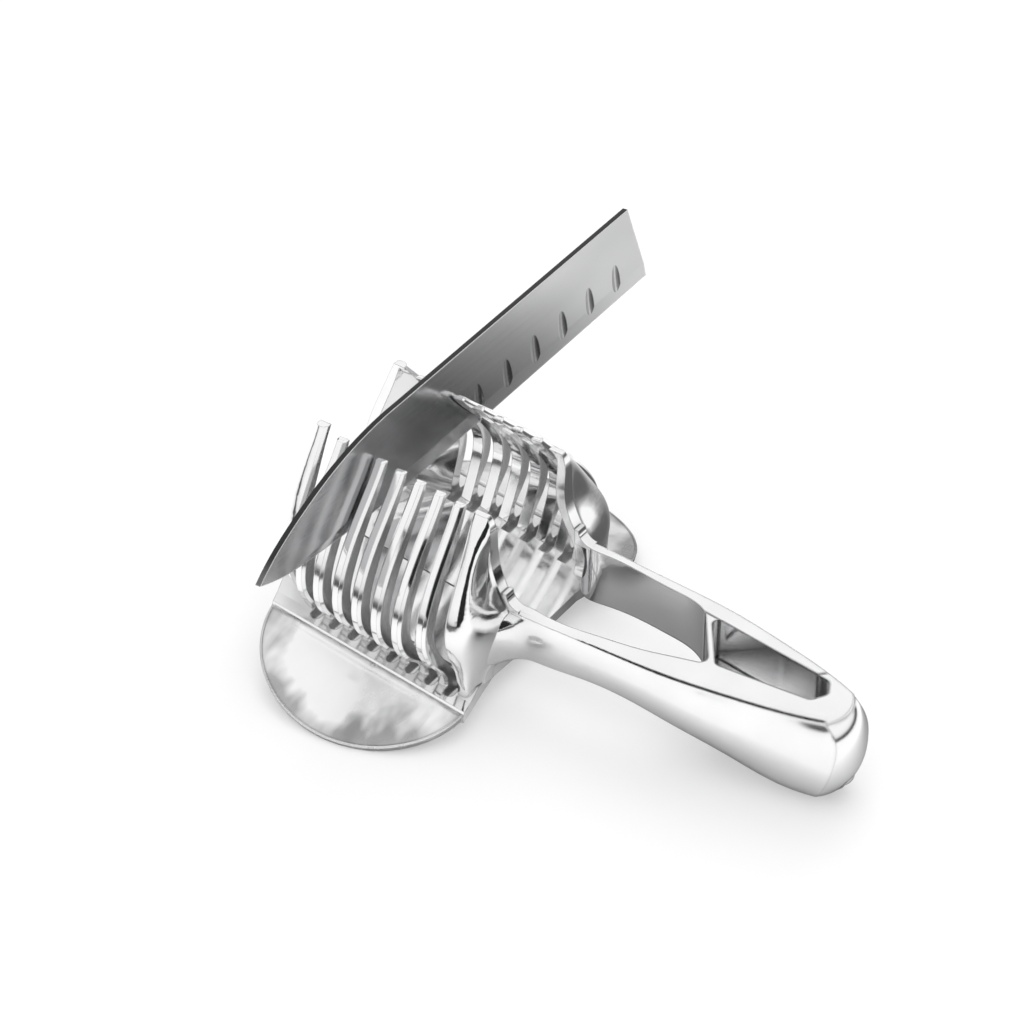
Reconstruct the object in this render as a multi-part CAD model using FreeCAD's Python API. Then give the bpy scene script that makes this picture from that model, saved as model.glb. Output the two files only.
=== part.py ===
"""Hinged fruit holder with comb jaws, two foot plates and a slicing blade.

+X runs from the tail of the handle to the comb head, +Z is up.
The origin is the middle of the flat that the tail rests on.
The fixed jaw lies on the +Y side and the swing jaw on the -Y side.
"""
import FreeCAD, Part
import math
import os

from FreeCAD import Vector

# Head: two combs of leaning fingers over two rails
reach = 138.0              # tail rest to the middle finger's tip
finger_count = 9
finger_pitch = 7.5
finger_width = 4.0
tip_height = 68.7          # middle finger's tip above the table
line_slope = 0.10          # fall of the tip line and of the rails towards the tail
finger_lean = 5.7          # degrees, tips lean away from the tail
tip_reach = 20.9           # outer face of the tips from the middle plane
tip_depth = 2.3
tip_bevel = 0.5
finger_depth = 5.2
foot_depth = 6.7
bulge_reach = 49.4         # outermost point of the fingers from the middle plane
bulge_drop = 37.0          # from the tip down to the bulge
foot_reach = 38.4          # outer face of the fingers' feet from the middle plane
foot_flare = 1.5           # feet turn out onto the rail
foot_seat = 2.2            # feet sunk into the rail
edge_bevel = 0.9
bowl_radius = 30.6         # plan radius that draws the end fingers in
bowl_rear = 9.5            # from the middle finger towards the tail, where it starts
bowl_front = 15.0

# End fingers widen into walls that close the comb towards the arm and at the head end
tip_rise = 1.3             # front finger's tip over the tip line
rear_spread = (3.1, 3.6, 4.9, 8.8, 5.6, 2.6)
front_spread = (2.2, 9.4, 15.4, 19.6, 17.4, 11.0)
rear_edge = 21.2           # rear wall's edge from the middle plane
front_edge = 18.8
rear_edge_width = 4.0
front_edge_width = 0.9
wall_thickness = 3.4
saddle_back = 8.2          # from the rear finger's tip back to the saddle
saddle_round = 4.6
band_width = 3.9           # flat top of an arm beside the window

# Rails and cradle floor
rail_height = 12.6         # top of the rail under the middle finger
rail_ledge = 6.2           # from the fingers' feet out to the rail's edge
rail_thickness = 3.4
rail_bevel = 1.1
rail_front = 34.5          # from the middle finger towards the head, at the rail's edge
rail_rear = 41.0           # from the middle finger towards the tail, at the rail's edge
front_nose = 6.5           # middle of the floor past the rail's front corner
rear_bay = 5.2             # middle of the floor short of the rail's rear corner
slot_depth = 8.4           # slots from the fingers' feet inwards
notch_depth = 3.0          # slots from the fingers' feet out into the rail
floor_rise = 1.2           # cradle floor's side over the rail
floor_sag = 2.4            # middle of the cradle floor below its sides
floor_thickness = 3.2
floor_gap = 0.5            # between the two halves of the floor

# Handle
band_height = 35.0         # flat top of the handle
band_round = 1.7           # rounded outer edge of the flat top
arm_half = 21.6            # outer half width where the arms leave the comb
tail_half = 14.0           # outer half width over the tail's rest
web_thickness = 1.9
web_round = 2.6            # inner corners beside the web
pocket_depth = 15.6
pocket_round = 3.4
stern_axis = 1.0           # upright axis that the rounded tail end turns about
stern_radius = 17.0
rest_flat = 0.4            # how far the tail's underside is cut flat

# Hinge
pin_x = -8.0
pin_radius = 2.0
pin_clearance = 0.05
pin_top = 26.0
pin_head_radius = 3.4
pin_head_height = 1.4
pin_recess = 4.2
knuckle_radius = 6.0
knuckle_bottom = 8.0
knuckle_top = 17.0
washer_thickness = 0.5
washer_radius = 4.6
seam_radius = 14.6         # round joint between the tail and the swing arm
running_gap = 0.3
tongue_width = 8.0
tongue_end = 18.0          # where the knuckle's arm meets the swing arm
open_angle = 7.0
swing_margin = 2.0         # degrees of room past the open angle

# Closing spring of square wire, coiled round the pin inside the knuckle
wire_width = 0.8
coil_radius = 3.3
coil_turns = 4
coil_pitch = 1.15
spring_room = 0.45
leg_length = 2.2           # lower leg, out from the coil's centre line
leg_swing = 0.9            # room beside the lower leg while the arm swings
riser_length = 2.6

# Foot plates
plate_half_length = 38.0
plate_half_width = 33.0
plate_setback = 4.0        # plate's centre inboard of the fold
plate_offset = -3.5        # plate's centre from the middle finger, towards the head
plate_slope = 19.3
plate_thickness = 2.4
dish_depth = 1.3
seam_gap = 0.12
flange_width = 12.0
flange_thickness = 1.8
flange_margin = 4.5        # flange's ends inside the plate's ends
fold_round = 2.2
rivet_radius = 1.6
rivet_head_radius = 2.9
rivet_head_height = 1.0
rivet_inset = 2.6           # rivets inboard of the fingers' outer feet
rivet_clearance = 0.05
rivet_cover = 1.1          # rail left standing over a rivet's end
rivet_fingers = (1, 4, 7)

# Slicing blade
blade_slot = 2             # slot that holds the blade, counted from the head end
blade_length = 202.7
blade_thickness = 1.9
blade_tip_reach = 76.4     # tip from the middle plane
blade_tip_height = 56.6
blade_pitch = 2.5          # degrees, butt end up
edge_drop = 9.8            # straight cutting edge below the tip
spine_rise = 20.4          # straight spine above the tip
spine_run = 72.0           # length of the curved spine, from the tip
belly_run = 80.0           # length of the curved edge, from the tip
butt_rake = 7.0
bevel_height = 6.0
edge_land = 0.3
dimple_count = 6
dimple_spacing = 15.3
dimple_first = 17.5        # from the butt
dimple_height = 14.0
dimple_width = 4.6
dimple_depth = 0.4
dimple_lift = 7.4          # dimples' centres above the cutting edge

# Sizes that follow from the ones above
lean = math.radians(finger_lean)
finger_height = (tip_height - rail_height + foot_seat) / math.cos(lean)
foot_shift = finger_height * math.sin(lean)
rail_reach = foot_reach + rail_ledge
last = finger_count - 1
SIDES = {"fixed": 1, "swing": -1}
FAR = 400.0                # past every face of the part


def v(x, y, z):
    return Vector(x, y, z)


def spline(points):
    curve = Part.BSplineCurve()
    curve.interpolate(points)
    return curve.toShape()


def arc(a, b, c):
    return Part.Arc(a, b, c).toShape()


def face_of(edges):
    return Part.Face(Part.Wire(Part.__sortEdges__(edges)))


def chain(points):
    """Straight edges from point to point."""
    return [Part.makeLine(a, b) for a, b in zip(points, points[1:])]


def polygon_face(points):
    return Part.Face(Part.makePolygon(points + [points[0]]))


def block(x0, x1, y0, y1, z0, z1):
    low = v(min(x0, x1), min(y0, y1), min(z0, z1))
    return Part.makeBox(abs(x1 - x0), abs(y1 - y0), abs(z1 - z0), low)


def prism(points, z0, z1):
    face = polygon_face([v(x, y, z0) for x, y in points])
    return face.extrude(v(0, 0, z1 - z0))


def mirrored(shape, side):
    """A shape drawn for the +Y side, put on either side."""
    if side > 0:
        return shape
    return shape.mirror(v(0, 0, 0), v(0, 1, 0))


def fused(shapes):
    whole = shapes[0].multiFuse(shapes[1:])
    return whole.removeSplitter()


def finger_x(index):
    """Tip of a finger along the handle, counted from the head end."""
    return reach + (last / 2.0 - index) * finger_pitch


def tip_z(x):
    return tip_height + line_slope * (x - reach)


def rail_z(x):
    return rail_height + line_slope * (x - reach)


def bowl_inset(x):
    """How far the bulge is drawn in near the comb's ends."""
    past = max(reach - bowl_rear - x, x - reach - bowl_front, 0.0)
    past = min(past, bowl_radius * 0.98)
    return bowl_radius - math.sqrt(bowl_radius ** 2 - past ** 2)


def finger_sides(inset):
    """Outer and inner points of a crescent in the YZ plane, tip's top at z = 0."""
    rise = finger_height
    swell = bulge_reach - tip_reach
    outer = [
        v(0, tip_reach, 0),
        v(0, tip_reach + 0.44 * swell - 0.55 * inset, -0.21 * rise),
        v(0, tip_reach + 0.81 * swell - 0.9 * inset, -0.41 * rise),
        v(0, bulge_reach - inset, -bulge_drop),
        v(0, bulge_reach - 0.13 * swell - 0.85 * inset, -0.8 * rise),
        v(0, foot_reach, -0.94 * rise),
        v(0, foot_reach + foot_flare, -rise),
    ]
    inner = [
        v(0, tip_reach - tip_depth, 0),
        v(0, outer[1].y - 0.75 * finger_depth, -0.235 * rise),
        v(0, outer[2].y - 0.9 * finger_depth, -0.44 * rise),
        v(0, outer[3].y - finger_depth, -bulge_drop),
        v(0, outer[4].y - 1.02 * finger_depth, -0.8 * rise),
        v(0, foot_reach - foot_depth, -rise),
    ]
    return outer, inner


def finger(index):
    """One leaning finger with bevelled outer edges, on the +Y side."""
    x = finger_x(index)
    outer, inner = finger_sides(bowl_inset(x))
    top = Part.makeLine(outer[0], inner[0])
    foot = Part.makeLine(outer[-1], inner[-1])
    face = face_of([spline(outer), spline(inner), top, foot])
    body = face.extrude(v(finger_width, 0, 0))
    body.translate(v(-finger_width / 2.0, 0, 0))
    body = body.makeChamfer(edge_bevel, [e for e in body.Edges if is_outer_rim(e)])
    body = body.makeChamfer(tip_bevel, [e for e in body.Edges if is_tip_rim(e)])
    body.rotate(v(0, 0, 0), v(0, 1, 0), finger_lean)
    body.translate(v(x, 0, tip_z(x)))
    return body


def is_outer_rim(edge):
    """Long curved edges of a finger's outer face."""
    middle = edge.valueAt((edge.FirstParameter + edge.LastParameter) / 2.0)
    level = abs(edge.Vertexes[0].Point.x - middle.x) < 0.01
    far_out = max(p.Point.y for p in edge.Vertexes) > foot_reach - 0.1
    return edge.Length > finger_height and level and far_out


def is_tip_rim(edge):
    """Edges round the flat top of a finger."""
    return all(abs(p.Point.z) < 0.001 for p in edge.Vertexes)


def wall_section(index, way, drop, outer, spread, edge, edge_width):
    """Level slice of an end finger and its wall, drop below the finger's tip.

    way is -1 for the wall towards the tail and 1 for the one at the head end.
    """
    x = finger_x(index) - drop * math.tan(lean)
    z = tip_z(finger_x(index)) - drop
    half = finger_width / 2.0
    depth = min(finger_depth, tip_depth + 0.12 * max(drop, 0.0))
    thick = min(wall_thickness, depth)
    span = outer - edge
    run = spread - half

    def at(along, y):
        return v(x + way * along, y, z)

    face = [at(edge_bevel - half, outer), at(half, outer - 0.06 * span),
            at(half + 0.58 * run, outer - 0.46 * span), at(spread, edge)]
    inner = edge - edge_width
    lines = chain([face[-1], at(spread, inner), at(spread - thick, inner),
                   at(-half, outer - depth), at(-half, outer - edge_bevel), face[0]])
    return Part.Wire([spline(face)] + lines)


def end_wall(index, way, spreads, edge, edge_width, rise):
    """End finger that widens into a curved wall, on the +Y side."""
    outer, inner = finger_sides(bowl_inset(finger_x(index)))
    tip = tip_reach - tip_bevel
    low_edge = (0.0, 0.0, 0.0, 0.0, 2.0, 8.0)
    sections = [wall_section(index, way, -rise, tip, spreads[0], tip - 0.4, tip_depth - 0.5)]
    for step in range(1, 6):
        point = outer[step]
        drop = -point.z * math.cos(lean)
        far = min(edge, point.y - 0.4) + low_edge[step]
        sections.append(wall_section(index, way, drop, point.y, spreads[step], far, edge_width))
    last_one = outer[5]
    drop = -last_one.z * math.cos(lean) + foot_seat
    far = edge + low_edge[5]
    sections.append(wall_section(index, way, drop, last_one.y, spreads[5], far, edge_width))
    return Part.makeLoft(sections, True, False)


def saddle():
    """Hollow round from the band up to the web's rear edge, on the +Y side."""
    x = finger_x(last) - finger_width / 2.0 - saddle_back
    r = saddle_round
    line = [v(x - r, 0, band_height), v(x - r, 0, band_height - 1.0), v(x + 1.5, 0, band_height - 1.0),
            v(x + 1.5, 0, band_height + r), v(x, 0, band_height + r)]
    bend = arc(v(x, 0, band_height + r), v(x - r * 0.293, 0, band_height + r * 0.293), v(x - r, 0, band_height))
    body = face_of(chain(line) + [bend]).extrude(v(0, band_width, 0))
    body.translate(v(0, tip_reach - band_width, 0))
    return body


def cradle():
    """Half of the cradle floor with its rail, slotted under the fingers."""
    z = rail_height
    low = z - rail_thickness
    side = z + floor_rise
    middle = side - floor_sag
    y0 = floor_gap / 2.0
    y1 = foot_reach - slot_depth
    y2 = foot_reach - finger_depth
    top_curve = spline([v(0, y0, middle), v(0, y1 * 0.55, middle + floor_sag * 0.4), v(0, y2, side)])
    base_curve = spline([v(0, y0, middle - floor_thickness), v(0, y1 * 0.55, middle - floor_thickness + 0.5),
                         v(0, y1, low)])
    r = rail_bevel
    edges = [top_curve, base_curve]
    edges += chain([v(0, y2, side), v(0, foot_reach + 0.8, z), v(0, rail_reach - r, z),
                    v(0, rail_reach, z - r), v(0, rail_reach, low), v(0, y1, low)])
    edges += chain([v(0, y0, middle - floor_thickness), v(0, y0, middle)])
    profile = face_of(edges)
    length = rail_front + front_nose + rail_rear
    profile.translate(v(reach - rail_rear, 0, -line_slope * rail_rear))
    body = profile.extrude(v(length, 0, line_slope * length))
    rear = reach - rail_rear
    front = reach + rail_front
    plan = [(rear + rear_bay, -1), (rear + rear_bay, 0.5 * rail_reach), (rear, rail_reach), (rear, rail_reach + 1),
            (front, rail_reach + 1), (front, rail_reach), (front + front_nose, 0.62 * rail_reach),
            (front + front_nose, -1)]
    body = body.common(prism(plan, -FAR, FAR))
    for index in range(last):
        body = body.cut(slot_cutter(index))
    return body


def slot_cutter(index):
    """Leaning slot between two fingers, round at its outer end."""
    x = (finger_x(index) + finger_x(index + 1)) / 2.0
    half = (finger_pitch - finger_width) / 2.0
    end = foot_reach + notch_depth - half
    low = -finger_height - rail_thickness - floor_rise - 6.0
    high = -finger_height + 9.0
    straight = block(-half, half, foot_reach - slot_depth, end, low, high)
    round_end = Part.makeCylinder(half, high - low, v(0, end, low))
    cutter = straight.fuse(round_end)
    cutter.rotate(v(0, 0, 0), v(0, 1, 0), finger_lean)
    cutter.translate(v(x, 0, tip_z(x)))
    return cutter


def comb_rear():
    """Foot of the rear finger along the handle."""
    return finger_x(last) - foot_shift


def arm_x(share):
    """From the tail's upright axis, 0, to the root of the arms, 1."""
    root = comb_rear() - 16.4
    return stern_axis + share * (root - stern_axis)


def hull_section(x, top_half, bulge_half, bulge_share, underside, fullness):
    """U-shaped outline of the handle, flat on top with rounded edges."""
    top = band_height
    depth = top - underside
    r = band_round
    edge = top_half
    corner = 0.293 * r
    right = [v(x, edge - r, top), v(x, edge - corner, top - corner), v(x, edge, top - r)]
    left = [v(x, -p.y, p.z) for p in right]
    side = [
        right[2],
        v(x, bulge_half, top - bulge_share * depth),
        v(x, fullness * bulge_half, top - 0.86 * depth),
        v(x, 0, underside),
        v(x, -fullness * bulge_half, top - 0.86 * depth),
        v(x, -bulge_half, top - bulge_share * depth),
        left[2],
    ]
    edges = [Part.makeLine(left[0], right[0]), arc(*right), spline(side), arc(left[2], left[1], left[0])]
    return Part.Wire(edges)


def stern_cutter():
    """Everything that the rounded tail end leaves standing."""
    top = band_height
    r = band_round
    edge = 0.72 * stern_radius
    corner = 0.293 * r
    curve = spline([
        v(edge, 0, top - r),
        v(0.91 * stern_radius, 0, top - 6.5),
        v(stern_radius, 0, top - 14.5),
        v(0.86 * stern_radius, 0, 8.5),
        v(0.5 * stern_radius, 0, 1.6),
        v(0, 0, -rest_flat),
    ])
    bend = arc(v(edge - r, 0, top), v(edge - corner, 0, top - corner), v(edge, 0, top - r))
    lines = chain([v(edge - r, 0, top), v(0, 0, top), v(0, 0, -rest_flat)])
    round_end = face_of([curve, bend] + lines).revolve(v(0, 0, 0), v(0, 0, 1), 360)
    round_end.translate(v(stern_axis, 0, 0))
    ahead = block(stern_axis, FAR, -FAR, FAR, -10, band_height + 1)
    return round_end.fuse(ahead)


def hull():
    """Whole handle before its window and pocket are cut."""
    root = comb_rear()
    width = arm_half
    tail = tail_half
    stations = [
        (root + 1.6, 21.0, foot_reach - 0.8, 0.52, 11.0, 0.90),
        (root - 1.6, 21.0, width + 11.4, 0.50, 12.0, 0.89),
        (root - 5.0, 21.0, width + 5.6, 0.48, 12.8, 0.88),
        (root - 10.0, 21.0, width + 1.2, 0.45, 13.2, 0.88),
        (arm_x(1.0), 20.8, width, 0.42, 13.2, 0.88),
        (arm_x(0.81), 20.0, width - 0.6, 0.42, 15.0, 0.88),
        (arm_x(0.62), 19.4, width - 1.1, 0.42, 14.7, 0.88),
        (arm_x(0.46), 18.4, width - 1.8, 0.42, 12.3, 0.88),
        (arm_x(0.29), 16.2, tail + 4.3, 0.42, 8.7, 0.86),
        (arm_x(0.14), 13.8, tail + 2.0, 0.42, 3.0, 0.80),
        (stern_axis, 11.0, tail, 0.42, -rest_flat, 0.74),
        (stern_axis - 10.0, 7.6, tail - 2.6, 0.42, -rest_flat, 0.72),
        (stern_axis - 20.0, 3.6, tail - 5.4, 0.42, -rest_flat, 0.72),
    ]
    wires = [hull_section(*station) for station in stations]
    body = Part.makeLoft(wires, True, False)
    body = body.common(stern_cutter())
    return body.cut(block(-FAR, FAR, -FAR, FAR, -FAR, 0))


def web_line(offset):
    """Centre line of the web across the handle, moved along its normal."""
    near = v(arm_x(0.371), 6.4, 0)
    far = v(arm_x(0.53), -12.4, 0)
    along = (far - near).normalize()
    normal = v(-along.y, along.x, 0)
    return near + normal * offset, far + normal * offset


def rounded_upright(body, radius, x_max):
    """Rounds the upright edges of a prism that lie tailward of x_max."""
    tall = body.BoundBox.ZLength - 0.001
    edges = [e for e in body.Edges if e.BoundBox.ZLength > tall and e.CenterOfMass.x < x_max]
    return body.makeFillet(radius, edges)


def window_cutter():
    """Opening between the arms, from the comb to the web."""
    near, far = web_line(web_thickness / 2.0)
    root = comb_rear()
    low = -5.0
    near_side = [v(near.x, near.y, low), v(arm_x(0.495), 9.9, low), v(arm_x(0.625), 13.2, low),
                 v(arm_x(0.766), 15.4, low), v(arm_x(0.895), 17.1, low), v(arm_x(1.01), 17.2, low),
                 v(root - 8.0, 17.2, low), v(root - 3.0, 20.5, low), v(root + 0.6, 27.0, low),
                 v(root + 2.6, 34.0, low)]
    far_side = [v(far.x, far.y, low), v(far.x + 3.0, -13.6, low), v(arm_x(0.719), -15.4, low),
                v(arm_x(0.87), -16.6, low), v(arm_x(1.01), -17.0, low),
                v(root - 8.0, -17.2, low), v(root - 3.0, -20.5, low), v(root + 0.6, -27.0, low),
                v(root + 2.6, -34.0, low)]
    edges = [spline(near_side), spline(far_side)]
    edges.append(Part.makeLine(near_side[0], far_side[0]))
    edges.append(Part.makeLine(near_side[-1], far_side[-1]))
    body = face_of(edges).extrude(v(0, 0, band_height + 30.0))
    return rounded_upright(body, web_round, arm_x(0.6))


def pocket_cutter():
    """Blind pocket between the web and the tail end."""
    near, far = web_line(-web_thickness / 2.0)
    tail = stern_axis
    points = [(near.x, near.y), (tail + 12.0, 4.0), (tail - 0.6, 2.6), (tail - 3.6, -2.4),
              (tail - 1.0, -7.4), (far.x, far.y + 0.4)]
    body = prism(points, band_height - pocket_depth, band_height + 5.0)
    corners = [e for e in body.Edges if e.BoundBox.ZLength > pocket_depth]
    rear = [e for e in corners if e.CenterOfMass.x < tail]
    front = [e for e in corners if e.CenterOfMass.x > tail + 15.0]
    return body.makeFillet(pocket_round * 0.6, rear + front)


def swing_side(shift):
    """Region that belongs to the swing arm, its border moved by shift."""
    border = [(137, 0), (67, -6), (49, -12.8), (1, -7.8), (-53, -2.5)]
    points = [(x, y + shift) for x, y in border] + [(-53, -90), (137, -90)]
    return prism(points, -20, 80)


def pin_cylinder(radius, z0, z1):
    return Part.makeCylinder(radius, z1 - z0, v(pin_x, 0, z0))


def handle_cut():
    return hull().cut(window_cutter()).cut(pocket_cutter())


def tongue_outline(widen):
    """Plan of the arm that carries the knuckle."""
    half = tongue_width / 2.0 + widen
    target = v(tongue_end, -12.5, 0)
    centre = v(pin_x, 0, 0)
    along = (target - centre).normalize()
    target = target + along * widen
    across = v(-along.y, along.x, 0) * half
    corners = [centre + across, target + across, target - across, centre - across]
    return [(p.x, p.y) for p in corners]


def tongue_slot():
    """Room for the knuckle and its arm over the whole swing."""
    low = knuckle_bottom - washer_thickness
    high = knuckle_top + running_gap
    room = pin_cylinder(knuckle_radius + running_gap, low, high)
    shapes = [room]
    for share in (0.0, 0.5, 1.0):
        swung = prism(tongue_outline(running_gap), low, high)
        swung.rotate(v(pin_x, 0, 0), v(0, 0, 1), -(open_angle + swing_margin) * share)
        shapes.append(swung)
    return fused(shapes)


def comb(side):
    """All that the two jaws have alike: fingers, floor half and rear web."""
    parts = [finger(i) for i in range(1, last)]
    parts.append(end_wall(0, 1, front_spread, front_edge, front_edge_width, tip_rise))
    parts.append(end_wall(last, -1, rear_spread, rear_edge, rear_edge_width, 0.0))
    parts += [cradle(), saddle()]
    return [mirrored(p, side) for p in parts]


def fixed_jaw():
    other = swing_side(running_gap).cut(pin_cylinder(seam_radius, -30, 90))
    body = fused(comb(1) + [handle_cut().cut(other)])
    body = body.cut(tongue_slot())
    body = body.cut(pin_cylinder(pin_radius + pin_clearance, -5, pin_top + 0.5))
    body = body.cut(pin_cylinder(pin_head_radius + 0.3, -5, pin_recess + pin_head_height + 0.1))
    body = body.cut(upper_leg_hole())
    for hole in rivet_holes(1):
        body = body.cut(hole)
    return body


def swing_jaw():
    arm = handle_cut().common(swing_side(0))
    arm = arm.cut(pin_cylinder(seam_radius + running_gap, -30, 90))
    tongue = prism(tongue_outline(0), knuckle_bottom, knuckle_top)
    knuckle = pin_cylinder(knuckle_radius, knuckle_bottom, knuckle_top)
    body = fused(comb(-1) + [arm, tongue, knuckle])
    body = body.cut(pin_cylinder(pin_radius + pin_clearance, -5, 60))
    body = body.cut(spring_cavity())
    for hole in rivet_holes(-1):
        body = body.cut(hole)
    return body


def spring_bottom():
    return knuckle_top - coil_turns * coil_pitch - wire_width - 0.3


def spring_cavity():
    """Counterbore for the coil with a slot for its lower leg."""
    low = spring_bottom() - 0.2
    half = wire_width / 2.0
    room = pin_cylinder(coil_radius + half + spring_room, low, knuckle_top + 5)
    reach_out = coil_radius + leg_length + 0.4
    slot = block(0, reach_out, -half - 0.15, half + leg_swing, low, knuckle_top + 5)
    slot.translate(v(pin_x, 0, 0))
    return room.fuse(slot)


def upper_leg_hole():
    x = pin_x + coil_radius
    half = wire_width / 2.0 + 0.1
    return block(x - half, x + half, -half, half, knuckle_top - 0.5, knuckle_top + riser_length)


def half_turn(index, z0):
    """One half of a coil's turn, tilted so that the halves meet smoothly."""
    rise = coil_pitch / 2.0
    radius = math.hypot(coil_radius, rise / 2.0)
    tilt = math.degrees(math.atan(rise / 2.0 / coil_radius))
    half = wire_width / 2.0
    wire = polygon_face([v(radius - half, 0, -half), v(radius + half, 0, -half),
                         v(radius + half, 0, half), v(radius - half, 0, half)])
    turn = wire.revolve(v(0, 0, 0), v(0, 0, 1), 180)
    if index % 2 == 1:
        turn.rotate(v(0, 0, 0), v(0, 0, 1), 180)
        tilt = -tilt
    turn.rotate(v(0, 0, 0), v(0, 1, 0), tilt)
    turn.translate(v(pin_x, 0, z0 + (index + 0.5) * rise))
    return turn


def jaw_spring():
    """Torsion spring with one leg up into the tail and one out into the knuckle."""
    half = wire_width / 2.0
    z0 = spring_bottom() + half
    z1 = z0 + coil_turns * coil_pitch
    x = pin_x + coil_radius
    turns = [half_turn(index, z0) for index in range(2 * coil_turns)]
    riser = block(x - half, x + half, -half, half, z1 - half, z1 + riser_length)
    leg = block(x - half, x + leg_length, -half, half, z0 - half, z0 + half)
    return fused(turns + [riser, leg])


def hinge_pin():
    low = pin_recess + pin_head_height
    shank = pin_cylinder(pin_radius, low, pin_top)
    head = pin_cylinder(pin_head_radius, pin_recess, low)
    return shank.fuse(head).removeSplitter()


def thrust_washer():
    ring = pin_cylinder(washer_radius, knuckle_bottom - washer_thickness, knuckle_bottom)
    return ring.cut(pin_cylinder(pin_radius + pin_clearance, 0, 40))


def plate_centre_x():
    return reach + plate_offset


def foot_plate(side):
    """Oval plate that slopes down from the rail to the table."""
    outline = Part.Ellipse(v(0, 0, 0), plate_half_length, plate_half_width)
    face = Part.Face(Part.Wire(outline.toShape()))
    plate = face.extrude(v(0, 0, -plate_thickness))
    half_chord = plate_half_width - plate_setback
    radius = (half_chord ** 2 + dish_depth ** 2) / (2 * dish_depth)
    dish = Part.makeSphere(radius, v(0, half_chord * 0.42, radius - dish_depth))
    plate = plate.cut(dish)
    plate.translate(v(0, -plate_setback, 0))
    plate = plate.common(block(-FAR, FAR, 0, FAR, -10, 10))
    plate.rotate(v(0, 0, 0), v(1, 0, 0), -plate_slope)
    plate.rotate(v(0, 0, 0), v(0, 1, 0), -math.degrees(math.atan(line_slope)))
    x = plate_centre_x()
    fold_y = rail_reach + seam_gap
    plate.translate(v(x, fold_y, rail_z(x)))
    plate = plate.cut(block(-FAR, FAR, -FAR, fold_y, -FAR, FAR))
    body = fused([plate, plate_flange()])
    body = body.cut(block(-FAR, FAR, -FAR, FAR, -FAR, 0))
    for hole in rivet_holes(1):
        body = body.cut(hole)
    return mirrored(body, side)


def plate_flange():
    """Folded edge of the plate that lies under the rail."""
    top = rail_height - rail_thickness
    low = top - flange_thickness
    y0 = rail_reach - flange_width
    y1 = rail_reach + seam_gap
    points = [
        v(0, y0, low),
        v(0, y0, top),
        v(0, y1, top),
        v(0, y1, rail_height),
        v(0, y1 + fold_round, rail_height - 0.35 * fold_round),
        v(0, y1 + 0.73 * fold_round, low),
    ]
    length = 2 * (plate_half_length - flange_margin)
    start = plate_centre_x() - length / 2.0
    face = polygon_face(points)
    face.translate(v(start, 0, line_slope * (start - reach)))
    return face.extrude(v(length, 0, line_slope * length))


def rivet_places():
    for index in rivet_fingers:
        yield finger_x(index) - foot_shift, foot_reach - rivet_inset


def rivet_axis():
    return v(-line_slope, 0, 1).normalize()


def rivet_under(x, y):
    """Point on a rivet's axis at the underside of the plate's flange."""
    top = v(x, y, rail_z(x))
    return top - rivet_axis() * ((rail_thickness + flange_thickness) / math.hypot(1, line_slope))


def rivet_holes(side):
    holes = []
    for x, y in rivet_places():
        low = rivet_under(x, y) - rivet_axis() * 5.0
        depth = 5.0 + rail_thickness + flange_thickness - rivet_cover
        hole = Part.makeCylinder(rivet_radius + rivet_clearance, depth, low, rivet_axis())
        holes.append(mirrored(hole, side))
    return holes


def foot_rivets(side):
    rivets = []
    for x, y in rivet_places():
        axis = rivet_axis()
        low = rivet_under(x, y) - axis * rivet_head_height
        length = rivet_head_height + rail_thickness + flange_thickness - rivet_cover - 0.1
        shank = Part.makeCylinder(rivet_radius, length, low, axis)
        head = Part.makeCylinder(rivet_head_radius, rivet_head_height, low, axis)
        rivets.append(mirrored(fused([shank, head]), side))
    return Part.makeCompound(rivets)


def blade_outline():
    """Side view of the blade with its tip at the origin and its butt towards -Y."""
    spine_shares = [(0.11, 0.25), (0.28, 0.52), (0.53, 0.81), (0.78, 0.97), (1.0, 1.0)]
    belly_shares = [(0.175, 0.44), (0.39, 0.68), (0.63, 0.88), (1.0, 1.0)]
    tip = v(0, 0, 0)
    spine = [tip] + [v(0, -a * spine_run, b * spine_rise) for a, b in spine_shares]
    belly = [tip] + [v(0, -a * belly_run, -b * edge_drop) for a, b in belly_shares]
    heel = v(0, -blade_length, -edge_drop)
    butt = v(0, -blade_length + butt_rake, spine_rise)
    return face_of([spline(spine), spline(belly)] + chain([spine[-1], butt, heel, belly[-1]]))


def edge_bevels():
    """Two wedges that thin the blade towards its cutting edge."""
    wedges = []
    half = blade_thickness / 2.0
    for turn in (1, -1):
        points = [
            v(turn * half * 1.4, 0, bevel_height - edge_drop),
            v(turn * half, 0, bevel_height - edge_drop),
            v(turn * edge_land / 2.0, 0, -edge_drop - 0.01),
            v(turn * half * 1.4, 0, -edge_drop - 0.01),
        ]
        wedges.append(polygon_face(points).extrude(v(0, -blade_length - 2.0, 0)))
    return wedges


def dimple(y, turn):
    """Shallow oval cut into one face of the blade."""
    across = (dimple_width / 2.0) ** 2 / (2.0 * dimple_depth)
    along = (dimple_height / 2.0) ** 2 / (2.0 * dimple_depth)
    x = turn * (blade_thickness / 2.0 + along - dimple_depth)
    return Part.makeTorus(along - across, across, v(x, y, dimple_lift - edge_drop), v(0, 1, 0))


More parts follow.
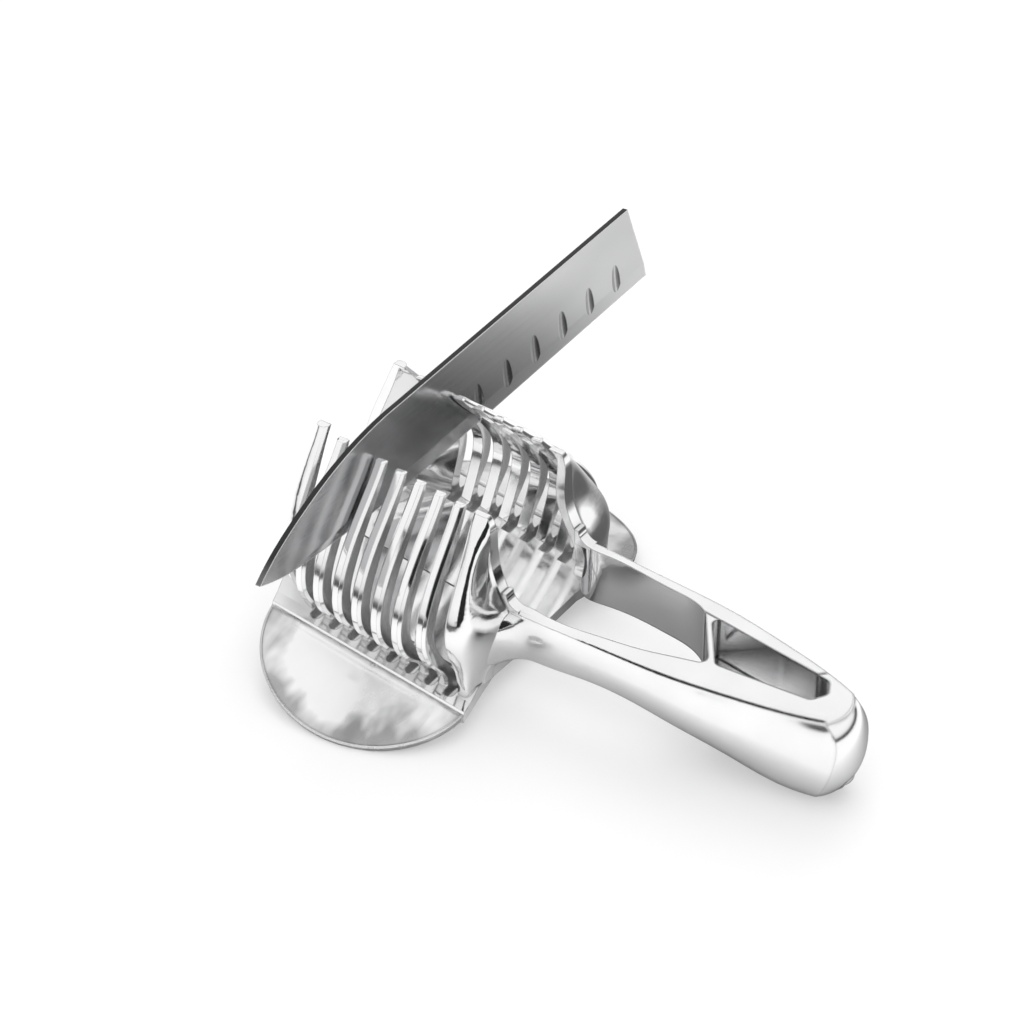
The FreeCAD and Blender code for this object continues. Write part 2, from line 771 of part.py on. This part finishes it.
def slicing_blade():
    body = blade_outline().extrude(v(blade_thickness, 0, 0))
    body.translate(v(-blade_thickness / 2.0, 0, 0))
    for wedge in edge_bevels():
        body = body.cut(wedge)
    for index in range(dimple_count):
        y = -blade_length + dimple_first + index * dimple_spacing
        for turn in (1, -1):
            body = body.cut(dimple(y, turn))
    body.rotate(v(0, 0, 0), v(1, 0, 0), -blade_pitch)
    x = finger_x(blade_slot + 0.5)
    body.translate(v(0, blade_tip_reach, blade_tip_height - tip_z(x)))
    body.rotate(v(0, 0, 0), v(0, 1, 0), finger_lean)
    body.translate(v(x, 0, tip_z(x)))
    return body


def write(name, shape):
    solids = shape.Solids
    whole = solids[0] if len(solids) == 1 else Part.makeCompound(solids)
    box = whole.BoundBox
    print(name, len(solids), whole.isValid(), "%.1f mm3" % whole.Volume,
          "x %.1f..%.1f y %.1f..%.1f z %.1f..%.1f" % (box.XMin, box.XMax, box.YMin, box.YMax, box.ZMin, box.ZMax))
    whole.exportStep(os.path.join("parts", name + ".step"))


def main():
    os.makedirs("parts", exist_ok=True)
    write("fixed_jaw", fixed_jaw())
    write("swing_jaw", swing_jaw())
    for name, side in SIDES.items():
        write(name + "_foot_plate", foot_plate(side))
        write(name + "_foot_rivets", foot_rivets(side))
    write("hinge_pin", hinge_pin())
    write("thrust_washer", thrust_washer())
    write("jaw_spring", jaw_spring())
    write("slicing_blade", slicing_blade())


main()
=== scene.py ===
"""Looks of the slicing holder: polished castings, satin foot plates and a brushed knife."""

import math

import bpy
from mathutils import Matrix, Vector

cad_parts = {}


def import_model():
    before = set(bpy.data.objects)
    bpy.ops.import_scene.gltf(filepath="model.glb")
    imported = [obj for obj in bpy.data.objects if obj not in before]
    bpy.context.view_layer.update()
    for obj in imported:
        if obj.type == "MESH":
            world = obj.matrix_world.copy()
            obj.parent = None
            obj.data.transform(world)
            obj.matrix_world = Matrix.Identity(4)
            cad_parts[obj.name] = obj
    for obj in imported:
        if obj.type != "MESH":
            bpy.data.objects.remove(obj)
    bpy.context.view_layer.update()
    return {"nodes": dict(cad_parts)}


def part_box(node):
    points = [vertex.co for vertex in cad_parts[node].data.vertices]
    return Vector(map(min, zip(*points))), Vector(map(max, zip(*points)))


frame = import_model()

# Lengths are in metres unless said otherwise. X runs along the part, Y across it, Z up

# Camera: the roll is in degrees, the lens and the sensor in millimetres
CAMERA_SPOT = (-0.3226, 0.5759, 0.6273)
CAMERA_TARGET = (0.11074, 0.0, 0.05235)
CAMERA_ROLL = -0.88
CAMERA_LENS = 105.5
CAMERA_CLIP = (0.01, 20.0)
SENSOR_WIDTH = 36.0

# Lamps: the place and the side of each square, then what both aim at and their watts
LAMPS = {"key_light": ((0.5, -0.9, 1.3), 1.2), "top_light": ((-0.1, 0.3, 1.6), 1.6)}
LAMP_TARGET = (0.1, 0.0, 0.02)
LAMP_POWER = 9.0

# Strength of the even light from all round
FILL = 0.72
# Grey level of the backdrop, and how much of it the camera sees mixed into the floor
PAPER = 0.975
FLOOR_GLOW = 0.42
# The floor's own colour, half its width, and how far it lies below the feet
PALE = (0.93, 0.93, 0.93)
FLOOR_HALF = 3.0
FLOOR_DROP = 0.0002

# What the metal mirrors all round, as grey levels over the sine of the height
MIRRORED = [(0.0, 0.75), (0.01, 0.10), (0.09, 0.10), (0.17, 0.85), (0.30, 1.0), (1.0, 1.0)]
# Painted shade on the floor, for the part's own shade beneath it, that only the metal mirrors: its
# middle, and grey levels over the distance from there, as shares of its reach
PAINTED_SHADE_MIDDLE = (0.05, -0.07, 0.0)
PAINTED_SHADE_REACH = 0.14
PAINTED_SHADE_GREYS = [(0.0, 0.10), (0.30, 0.12), (0.60, 0.42), (0.90, 1.0)]
# A dark card close beside the handle that only the metal mirrors: its place across, and
# its outline along and up, which stops short of the comb and has one corner cut off
CARD_ACROSS = 0.06
CARD = [(-0.035, 0.038), (0.088, 0.038), (0.088, 0.064), (0.066, 0.10), (-0.035, 0.10)]
CARD_GREY = 0.02

# Radii of the softened edges
TAIL_EDGE = 0.0016
COMB_EDGE = 0.0004
PLATE_EDGE = 0.0018
BLADE_EDGE = 0.0007
# Along the part: the edges narrow over the first span, and the painted shade in slots goes from the
# handle's to the comb's over the second
EDGES_NARROW = (0.0, 0.095)
COMB_BEGINS = (0.085, 0.105)
HANDLE_SHADE = 0.20
COMB_SHADE = 0.72
# How near a wall has to be to close a face in
SLOT_DEPTH = 0.018
# Where a foot plate's fold lies across the part
FOLD = 0.034
# How squarely a face of the knife looks along the part to be one of its flanks
FLANK = 0.8

# Colours over a noise, and the span that most of a noise lies in
CASTING_TONES = [(0.3, (0.88, 0.88, 0.885)), (0.7, (0.94, 0.94, 0.943))]
PLATE_TONES = [(0.34, (0.72, 0.72, 0.725)), (0.50, (0.93, 0.93, 0.93)), (0.7, (0.97, 0.97, 0.97))]
BLADE_TONES = [(0.3, (0.46, 0.462, 0.467)), (0.7, (0.56, 0.562, 0.567))]
STEEL_TONES = [(0.3, (0.50, 0.50, 0.51)), (0.7, (0.62, 0.62, 0.63))]
NOISE_SPAN = (0.3, 0.7)


def grey(level):
    return (level, level, level)


class Nodes:
    """Short way to build a node tree."""

    def __init__(self, tree):
        self.tree = tree
        tree.nodes.clear()

    def add(self, kind, inputs=None, **settings):
        node = self.tree.nodes.new(kind)
        for name, value in settings.items():
            setattr(node, name, value)
        for name, value in (inputs or {}).items():
            self.put(node, name, value)
        return node

    def put(self, node, name, value):
        """Link an output to a socket, or set a number or a colour on it."""
        socket = node.inputs[name]
        if isinstance(value, bpy.types.NodeSocket):
            self.tree.links.new(value, socket)
        elif socket.type == "RGBA":
            socket.default_value = value + (1.0,)
        else:
            socket.default_value = value

    def coordinate(self, kind):
        return self.add("ShaderNodeTexCoord").outputs[kind]

    def axes(self, kind):
        """The outputs X, Y and Z of a coordinate."""
        return self.add("ShaderNodeSeparateXYZ", {0: self.coordinate(kind)}).outputs

    def stretched(self, scale):
        """The place on the object, multiplied by a scale along each axis."""
        inputs = {"Vector": self.coordinate("Object"), "Scale": scale}
        return self.add("ShaderNodeMapping", inputs).outputs["Vector"]

    def math(self, operation, a, b=0.0):
        return self.add("ShaderNodeMath", {0: a, 1: b}, operation=operation).outputs[0]

    def span(self, value, source, target):
        """The value, moved from one span to another and held inside it."""
        inputs = {"Value": value, "From Min": source[0], "From Max": source[1]}
        inputs.update({"To Min": target[0], "To Max": target[1]})
        return self.add("ShaderNodeMapRange", inputs).outputs["Result"]

    def noise(self, vector, scale=1.0, detail=2.0, roughness=0.5):
        inputs = {"Vector": vector, "Scale": scale, "Detail": detail, "Roughness": roughness}
        return self.add("ShaderNodeTexNoise", inputs).outputs["Fac"]

    def ramp(self, factor, stops):
        node = self.add("ShaderNodeValToRGB", {"Fac": factor})
        band = node.color_ramp.elements
        while len(band) < len(stops):
            band.new(0.5)
        for element, (place, colour) in zip(band, stops):
            element.position = place
            element.color = colour + (1.0,)
        return node.outputs["Color"]

    def greys(self, factor, stops):
        """A ramp of grey levels."""
        return self.ramp(factor, [(place, grey(level)) for place, level in stops])

    def blend(self, factor, first, second, kind="MIX"):
        inputs = {0: factor, 6: first, 7: second}
        return self.add("ShaderNodeMix", inputs, data_type="RGBA", blend_type=kind).outputs[2]

    def shaded(self, colour, *shades):
        """The colour, multiplied by each of the shades."""
        for shade in shades:
            colour = self.blend(1.0, colour, shade, "MULTIPLY")
        return colour

    def soft_edge(self, radius):
        return self.add("ShaderNodeBevel", {"Radius": radius}, samples=6).outputs["Normal"]

    def painted_edge_shading(self, soft, stops):
        """Painted light and shade at edges, by how far a softened normal agrees with the surface's
        own.
        """
        own = self.add("ShaderNodeNewGeometry").outputs["Normal"]
        agree = self.add("ShaderNodeVectorMath", {0: soft, 1: own}, operation="DOT_PRODUCT")
        return self.greys(agree.outputs["Value"], stops)

    def openness(self, reach):
        """1 on open faces, less in slots and pockets as deep as reach."""
        node = self.add("ShaderNodeAmbientOcclusion", {"Distance": reach}, samples=4, only_local=True)
        return node.outputs["AO"]

    def bump(self, height, distance, strength, normal=None):
        inputs = {"Height": height, "Distance": distance, "Strength": strength}
        if normal is not None:
            inputs["Normal"] = normal
        return self.add("ShaderNodeBump", inputs).outputs["Normal"]

    def shine(self, kind, level, strength=1.0):
        """An emission or a background, of a grey level or a linked colour."""
        colour = grey(level) if isinstance(level, float) else level
        return self.add(kind, {"Color": colour, "Strength": strength}).outputs[0]

    def choose(self, factor, first, second):
        """The first shader where the factor is 0, the second where it is 1."""
        return self.add("ShaderNodeMixShader", {"Fac": factor, 1: first, 2: second}).outputs[0]


def new_material(name):
    material = bpy.data.materials.new(name)
    material.use_nodes = True
    return material, Nodes(material.node_tree)


def metal(name, build):
    """A metal material whose colour, roughness and normal come from build."""
    material, n = new_material(name)
    shader = n.add("ShaderNodeBsdfPrincipled", {"Metallic": 1.0})
    build(n, shader)
    n.add("ShaderNodeOutputMaterial", {"Surface": shader.outputs["BSDF"]})
    return material


def polished(n, shader):
    """Polished casting: softer edges at the tail, a painted dark line along the edges, and in slots
    and pockets painted shade and rougher metal.
    """
    where = n.coordinate("Object")
    along = n.axes("Object")["X"]
    open_face = n.openness(SLOT_DEPTH)
    edge = n.soft_edge(n.span(along, EDGES_NARROW, (TAIL_EDGE, COMB_EDGE)))
    tone = n.ramp(n.noise(where, scale=55.0, detail=3.0), CASTING_TONES)
    # Painted shade: the colour darkens in slots and pockets, most along the handle and less in the
    # comb
    darkest = n.span(along, COMB_BEGINS, (HANDLE_SHADE, COMB_SHADE))
    shade = n.span(open_face, (0.38, 0.92), (darkest, 1.0))
    # Painted shade: a thin dark line along the softened edges
    line = n.painted_edge_shading(edge, [(0.80, 0.45), (0.96, 0.75), (0.99, 1.0)])
    n.put(shader, "Base Color", n.shaded(tone, shade, line))
    polish = n.span(n.noise(where, scale=140.0, detail=4.0), NOISE_SPAN, (0.05, 0.12))
    slot_roughness_and_painted_rim_shade = n.span(open_face, (0.30, 0.75), (0.34, 0.05))
    n.put(shader, "Roughness", n.math("MAXIMUM", polish, slot_roughness_and_painted_rim_shade))
    wave = n.bump(n.noise(where, scale=42.0, detail=1.0), 0.0005, 0.2, edge)
    n.put(shader, "Normal", n.bump(n.noise(where, scale=2600.0), 0.00002, 0.12, wave))


def rim_share(n):
    """0 at the middle of a foot plate's fold, 1 at its rim."""
    low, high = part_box("fixed_foot_plate")
    half = (high[0] - low[0]) / 2.0
    reach = max(abs(low[1]), abs(high[1])) - FOLD
    where = n.axes("Object")
    along = n.math("DIVIDE", n.math("SUBTRACT", where["X"], low[0] + half), half)
    across = n.math("DIVIDE", n.math("SUBTRACT", n.math("ABSOLUTE", where["Y"]), FOLD), reach)
    return n.math("SQRT", n.math("ADD", n.math("POWER", along, 2.0), n.math("POWER", across, 2.0)))


def satin_plate(n, shader):
    """Satin sheet with clouds of tone and roughness, painted shade darkening it towards its rim, a
    painted dark line just inside the rim and a painted highlight at its edge.
    """
    streak = n.noise(n.stretched((30.0, 200.0, 200.0)), detail=3.0)
    cloud = n.noise(n.stretched((60.0, 30.0, 60.0)), detail=3.0)
    edge = n.soft_edge(PLATE_EDGE)
    share = rim_share(n)
    wander = n.span(cloud, NOISE_SPAN, (0.26, -0.26))
    # Painted shade: the sheet's colour darkens towards its rim, along a wandering border
    slot_roughness_and_painted_rim_shade = n.greys(n.math("ADD", share, wander), [(0.78, 1.0), (1.0, 0.5)])
    near_rim = n.span(share, (0.80, 0.88), (0.0, 1.0))
    # Painted shade: a thin dark line just inside the rim, where the real plate has a small step
    painted_rim_line = n.painted_edge_shading(edge, [(0.96, 0.10), (0.99, 0.10), (0.999, 1.0)])
    line = n.blend(near_rim, grey(1.0), painted_rim_line)
    # Painted highlight: a pale band along the rim's very edge
    painted_rim_highlight = n.math("MULTIPLY", near_rim, n.painted_edge_shading(edge, [(0.92, 1.0), (0.96, 0.0)]))
    sheet = n.shaded(n.ramp(cloud, PLATE_TONES), slot_roughness_and_painted_rim_shade, line)
    n.put(shader, "Base Color", n.blend(painted_rim_highlight, sheet, grey(0.97)))
    n.put(shader, "Roughness", n.span(cloud, NOISE_SPAN, (0.22, 0.36)))
    wave = n.bump(cloud, 0.0008, 0.3, edge)
    n.put(shader, "Normal", n.bump(streak, 0.00004, 0.2, wave))


def brushed_blade(n, shader):
    """Brushed steel, with painted shade in the dimples of the flanks and on the upward faces of its
    back, and painted highlights along its edges.
    """
    streak = n.noise(n.stretched((3000.0, 8.0, 2000.0)), detail=4.0, roughness=0.65)
    cloud = n.noise(n.stretched((20.0, 14.0, 40.0)), detail=3.0)
    mixed = n.math("ADD", n.math("MULTIPLY", streak, 0.25), n.math("MULTIPLY", cloud, 0.75))
    edge = n.soft_edge(BLADE_EDGE)
    # Painted highlight: pale grey along the knife's edges
    rim = n.painted_edge_shading(edge, [(0.94, 1.0), (0.985, 0.0)])
    steel = n.blend(rim, n.ramp(mixed, BLADE_TONES), grey(0.97))
    facing = n.axes("Normal")
    flank = n.math("GREATER_THAN", n.math("ABSOLUTE", facing["X"]), FLANK)
    # Painted shade: flank faces that tilt along the knife, as in the dimples, are darker
    painted_tilt_shade = n.greys(n.math("ABSOLUTE", facing["Y"]), [(0.02, 1.0), (0.09, 0.50), (0.25, 0.42)])
    painted_dimple_shade = n.blend(flank, grey(1.0), painted_tilt_shade)
    # Painted shade: faces that look upward along the knife's back are darkened
    painted_spine_shade = n.greys(facing["Z"], [(0.60, 1.0), (0.85, 0.08)])
    n.put(shader, "Base Color", n.shaded(steel, painted_dimple_shade, painted_spine_shade))
    n.put(shader, "Roughness", n.span(streak, NOISE_SPAN, (0.14, 0.22)))
    n.put(shader, "Normal", n.bump(streak, 0.00002, 0.2, edge))
    n.put(shader, "Anisotropic", 0.3)


def plain_steel(n, shader):
    """Plain steel with a fine grain."""
    grain = n.noise(n.stretched((300.0, 300.0, 2500.0)), detail=3.0)
    n.put(shader, "Base Color", n.ramp(grain, STEEL_TONES))
    n.put(shader, "Roughness", n.span(grain, NOISE_SPAN, (0.22, 0.36)))
    n.put(shader, "Normal", n.bump(grain, 0.00003, 0.3))


FINISHES = {
    "polished_casting": (polished, ["fixed_jaw", "swing_jaw"]),
    "satin_plate": (satin_plate, ["fixed_foot_plate", "swing_foot_plate"]),
    "plain_steel": (plain_steel, [
        "fixed_foot_rivets", "swing_foot_rivets", "hinge_pin", "thrust_washer", "jaw_spring"]),
    "brushed_blade": (brushed_blade, ["slicing_blade"]),
}


def finish_nodes():
    """Give each node its one material."""
    for name, (build, nodes) in FINISHES.items():
        material = metal(name, build)
        for node in nodes:
            mesh = frame["nodes"][node].data
            mesh.materials.clear()
            mesh.materials.append(material)


def flat_object(name, corners):
    """An object with one flat face."""
    mesh = bpy.data.meshes.new(name)
    mesh.from_pydata(corners, [], [tuple(range(len(corners)))])
    obj = bpy.data.objects.new(name, mesh)
    bpy.context.scene.collection.objects.link(obj)
    return obj


def floor():
    """A pale floor, with painted shade around the part that only the metal mirrors."""
    signs = ((-1, -1), (1, -1), (1, 1), (-1, 1))
    obj = flat_object("floor", [(x * FLOOR_HALF, y * FLOOR_HALF, 0.0) for x, y in signs])
    obj.location = (0.0, 0.0, -FLOOR_DROP)
    material, n = new_material("pale_floor")
    ends = {0: n.coordinate("Object"), 1: PAINTED_SHADE_MIDDLE}
    away = n.add("ShaderNodeVectorMath", ends, operation="DISTANCE").outputs["Value"]
    painted_shade = n.greys(n.math("DIVIDE", away, PAINTED_SHADE_REACH), PAINTED_SHADE_GREYS)
    ray = n.add("ShaderNodeLightPath").outputs
    # Painted shade: reflections see the floor darker around the part
    colour = n.blend(ray["Is Glossy Ray"], PALE, n.shaded(PALE, painted_shade))
    look = {"Base Color": colour, "Roughness": 0.9, "Specular IOR Level": 0.1}
    lit = n.add("ShaderNodeBsdfPrincipled", look).outputs["BSDF"]
    paper = n.shine("ShaderNodeEmission", PAPER)
    share = n.math("MULTIPLY", ray["Is Camera Ray"], FLOOR_GLOW)
    n.add("ShaderNodeOutputMaterial", {"Surface": n.choose(share, lit, paper)})
    obj.data.materials.append(material)


def dark_card():
    """A dark card that only reflections see: it gives the handle a dark line below the band."""
    obj = flat_object("dark_card", [(along, CARD_ACROSS, up) for along, up in CARD])
    for kind in ("camera", "diffuse", "shadow", "transmission", "volume_scatter"):
        setattr(obj, "visible_" + kind, False)
    material, n = new_material("dark_card")
    glow = n.shine("ShaderNodeEmission", CARD_GREY)
    n.add("ShaderNodeOutputMaterial", {"Surface": glow})
    obj.data.materials.append(material)


def world():
    """Even pale light, with a studio of soft boxes and dark gaps for the metal to mirror."""
    sky = bpy.data.worlds.new("studio")
    bpy.context.scene.world = sky
    sky.use_nodes = True
    n = Nodes(sky.node_tree)
    height = n.math("MAXIMUM", n.axes("Generated")["Z"], 0.0)
    ray = n.add("ShaderNodeLightPath").outputs
    fill = n.shine("ShaderNodeBackground", 1.0, FILL)
    mirrored = n.shine("ShaderNodeBackground", n.greys(height, MIRRORED))
    backdrop = n.shine("ShaderNodeBackground", PAPER)
    seen = n.math("MAXIMUM", ray["Is Camera Ray"], ray["Is Transmission Ray"])
    light = n.choose(ray["Is Glossy Ray"], fill, mirrored)
    n.add("ShaderNodeOutputWorld", {"Surface": n.choose(seen, light, backdrop)})


def place_looking(obj, spot, target):
    """Put an object in the scene, looking at a target from a spot."""
    obj.location = spot
    obj.rotation_mode = "QUATERNION"
    obj.rotation_quaternion = (Vector(target) - Vector(spot)).to_track_quat("-Z", "Y")
    bpy.context.scene.collection.objects.link(obj)


def lamps():
    """Square lamps that the metal doesn't mirror."""
    for name, (spot, side) in LAMPS.items():
        data = bpy.data.lights.new(name, "AREA")
        data.shape = "SQUARE"
        data.size = side
        data.energy = LAMP_POWER
        obj = bpy.data.objects.new(name, data)
        obj.visible_glossy = False
        place_looking(obj, spot, LAMP_TARGET)


def camera():
    data = bpy.data.cameras.new("camera")
    data.lens = CAMERA_LENS
    data.sensor_width = SENSOR_WIDTH
    data.clip_start, data.clip_end = CAMERA_CLIP
    obj = bpy.data.objects.new("camera", data)
    place_looking(obj, CAMERA_SPOT, CAMERA_TARGET)
    obj.rotation_quaternion @= Matrix.Rotation(math.radians(CAMERA_ROLL), 4, "Z").to_quaternion()
    bpy.context.scene.camera = obj


finish_nodes()
floor()
dark_card()
world()
lamps()
camera()
bpy.context.scene.view_settings.view_transform = "Standard"
